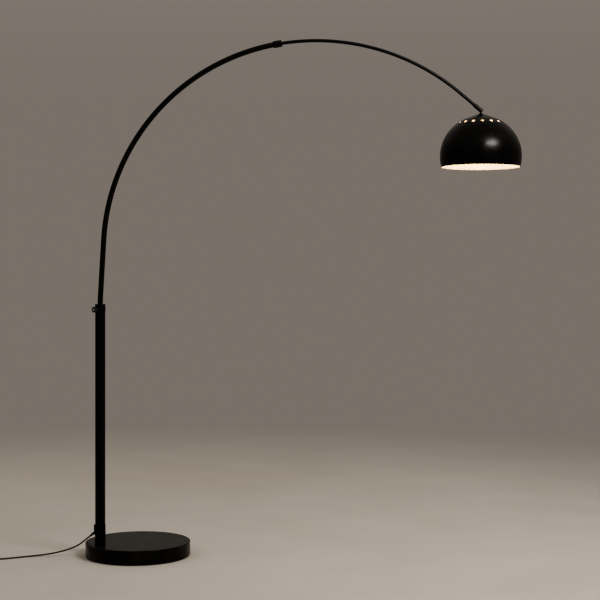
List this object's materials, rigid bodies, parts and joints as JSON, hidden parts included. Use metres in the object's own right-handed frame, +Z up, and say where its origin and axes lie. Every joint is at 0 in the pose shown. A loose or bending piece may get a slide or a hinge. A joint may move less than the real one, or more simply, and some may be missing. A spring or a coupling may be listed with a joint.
{
  "type": "arc floor lamp",
  "caption": "Arc floor lamp: round stone base, pole with clamp knob, telescoping bow and a pierced dome shade that hangs on a swivel ball.",
  "frame": {"origin": "centre of the base's underside, on the floor", "axes": "+Z up, +X from the base towards the shade along the bow's plane, +Y to the back, away from the clamp knob"},
  "size_m": [2.1241, 0.384, 1.9029],
  "materials": {
    "polished_stone": "polished black",
    "pad_foam": "closed-cell foam",
    "black_paint": "satin powder coat",
    "shade_paint": "semi-gloss lacquer",
    "zinc_steel": "zinc plated",
    "bright_steel": "turned",
    "brass": "turned",
    "nylon": "natural nylon",
    "black_plastic": "moulded",
    "black_rubber": "moulded",
    "cord_pvc": "smooth PVC",
    "holder_plastic": "moulded",
    "insulator_ceramic": "glazed",
    "bulb_opal": "opal"
  },
  "bodies": {
    "base": {"base_stone": "polished_stone", "base_pad": "pad_foam", "pole_washer": "zinc_steel", "pole_bolt": "zinc_steel", "pole": "black_paint", "pole_foot_plug": "zinc_steel", "pole_foot_sleeve": "black_paint", "cord_relief": "black_rubber", "pole_top_collar": "black_paint", "collar_bush": "black_plastic", "pole_flex": "cord_pvc", "switch_base": "black_plastic", "switch_cover": "black_plastic", "switch_contact_block": "nylon", "switch_posts": "zinc_steel", "power_cord": "cord_pvc", "cord_switch_to_coil": "cord_pvc", "cord_coil_to_plug": "cord_pvc", "cord_coil": "cord_pvc", "cord_tie": "black_rubber", "plug_body": "black_rubber", "plug_pins": "brass"},
    "knob": {"lock_knob": "black_plastic", "knob_stud": "bright_steel"},
    "guide": {"stem_guide": "nylon"},
    "lower_arm": {"lower_arm_tube": "black_paint", "stem_retaining_ring": "zinc_steel", "stem_end_plug": "black_plastic", "joint_ferrule": "black_paint", "joint_bush": "black_plastic", "joint_grub_screw": "zinc_steel", "lower_arm_flex": "cord_pvc"},
    "upper_arm": {"upper_arm_tube": "black_paint", "tube_tail_ring": "nylon", "end_sleeve": "black_paint", "upper_arm_flex": "cord_pvc"},
    "ball": {"swivel_ball": "brass"},
    "shade": {"shade": "shade_paint", "shade_cap": "shade_paint", "shade_lock_nut": "zinc_steel", "hollow_stud": "black_paint", "holder_cap": "holder_plastic", "holder_shell": "holder_plastic", "holder_insulator": "insulator_ceramic", "holder_screw_shell": "brass", "holder_contact": "brass", "bulb_cap": "zinc_steel", "bulb_glass": "bulb_opal", "shade_flex": "cord_pvc"},
    "button": {"switch_button": "black_plastic"}
  },
  "joints": [
    {"name": "knob_turn", "type": "hinge", "parent": "base", "child": "knob", "pos_m": [-0.1395, 0, 0.9056], "axis": [-0.6428, -0.766, 0], "range_deg": [0, 540]},
    {"name": "height_slide", "type": "slide", "parent": "base", "child": "guide", "axis": [0, 0, 1], "range_m": [0, 0.25]},
    {"name": "bow_swivel", "type": "hinge", "parent": "guide", "child": "lower_arm", "pos_m": [-0.1395, 0, 0.9], "axis": [0, 0, 1], "range_deg": [-120, 120]},
    {"name": "bow_extension", "type": "hinge", "parent": "lower_arm", "child": "upper_arm", "pos_m": [0.65707, 0, 1.07093], "axis": [0, 1, 0], "range_deg": [-2.6, 5.2]},
    {"name": "shade_tilt", "type": "hinge", "parent": "upper_arm", "child": "ball", "pos_m": [1.26339, 0, 1.63999], "axis": [0, 1, 0], "range_deg": [-45, 20]},
    {"name": "shade_turn", "type": "hinge", "parent": "ball", "child": "shade", "pos_m": [1.26339, 0, 1.63999], "axis": [0, 0, 1], "range_deg": [-170, 170]},
    {"name": "foot_button", "type": "slide", "parent": "base", "child": "button", "axis": [0, 0, -1], "range_m": [0, 0.003], "stiffness_N_per_m": 900, "springref_m": -0.003}
  ]
}
